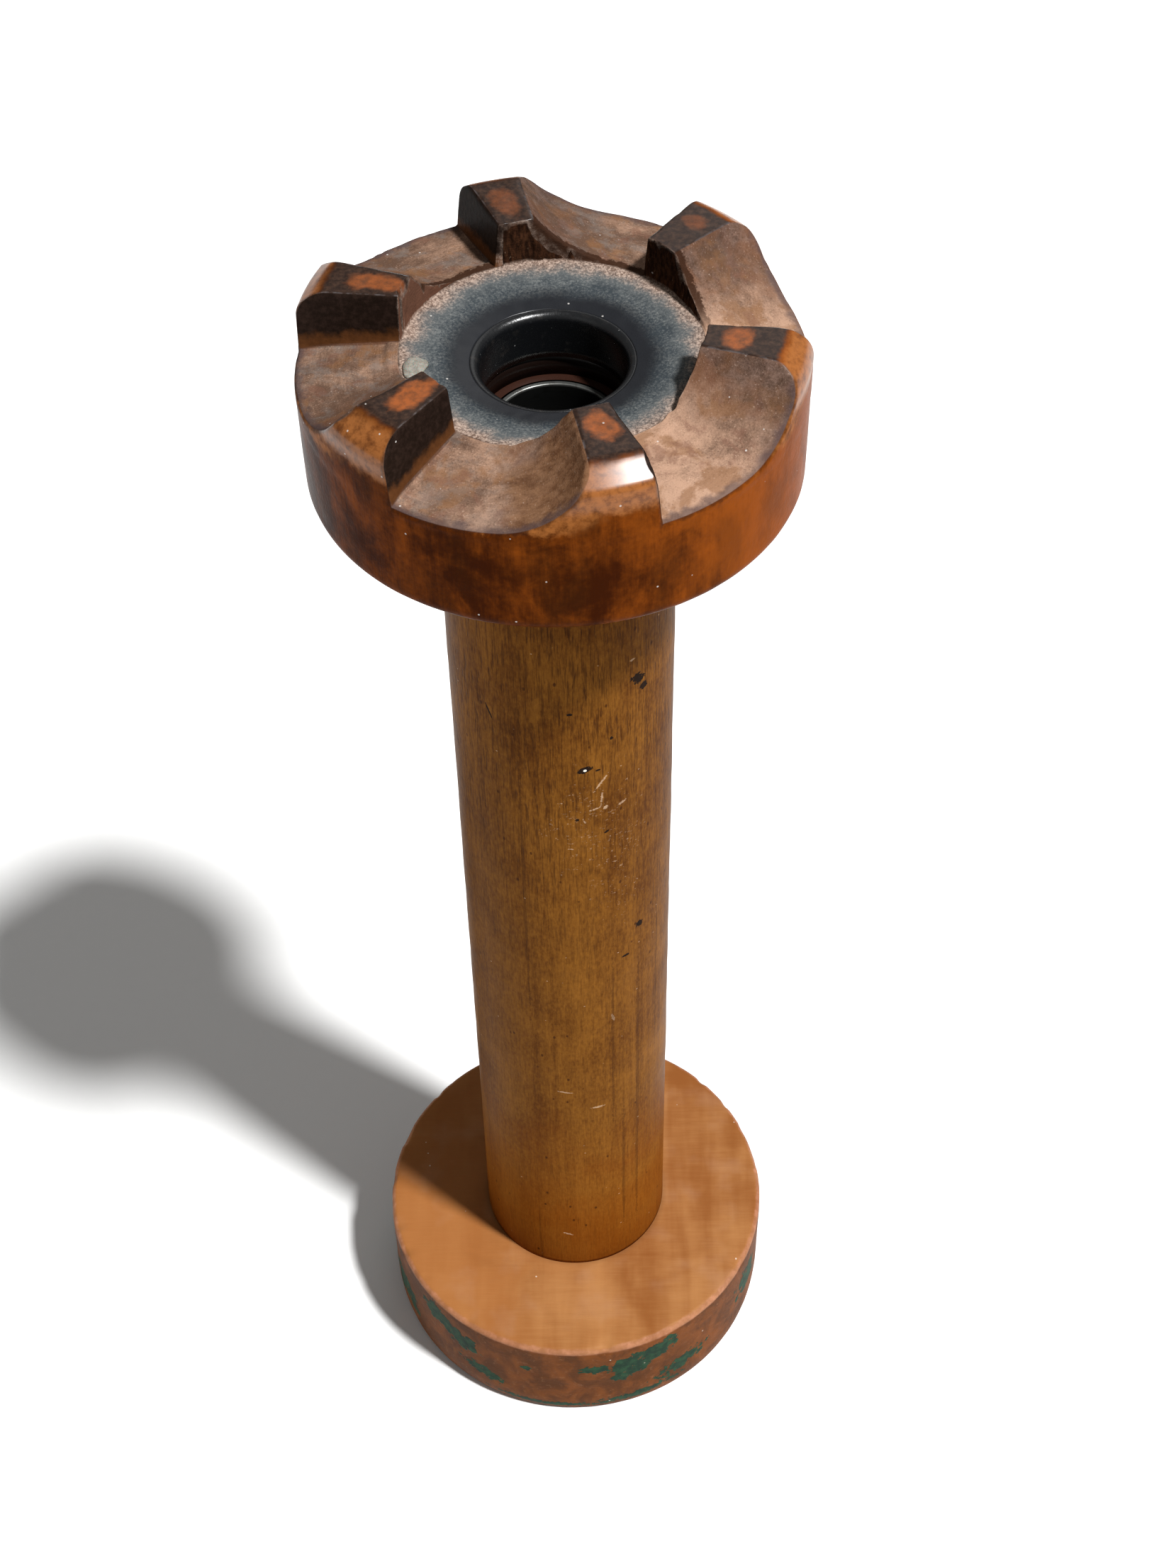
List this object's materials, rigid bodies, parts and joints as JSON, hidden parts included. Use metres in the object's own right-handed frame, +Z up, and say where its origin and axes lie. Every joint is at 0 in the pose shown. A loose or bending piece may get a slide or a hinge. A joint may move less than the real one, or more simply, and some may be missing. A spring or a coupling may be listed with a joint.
{
  "type": "wooden candlestick",
  "caption": "Bobbin-shaped wooden candlestick: a ratchet-toothed crown flange with a steel-lipped candle socket, a plain round barrel and a round foot flange.",
  "frame": {"origin": "centre of the foot's underside, on the axis", "axes": "+Z up along the axis to the candle socket; +X and +Y horizontal, with one tooth's steep face 5.8 degrees short of +X"},
  "size_m": [0.0816, 0.0816, 0.263],
  "materials": {
    "crown_wood": "worn glossy varnish",
    "barrel_wood": "satin varnish",
    "base_wood": "worn varnish with traces of green paint",
    "ferrule_steel": "glossy black",
    "bush_steel": "satin"
  },
  "bodies": {
    "root": {"crown_flange": "crown_wood", "barrel": "barrel_wood", "base_flange": "base_wood", "mouth_ferrule": "ferrule_steel", "upper_bush": "bush_steel", "lower_bush": "bush_steel"}
  },
  "joints": []
}
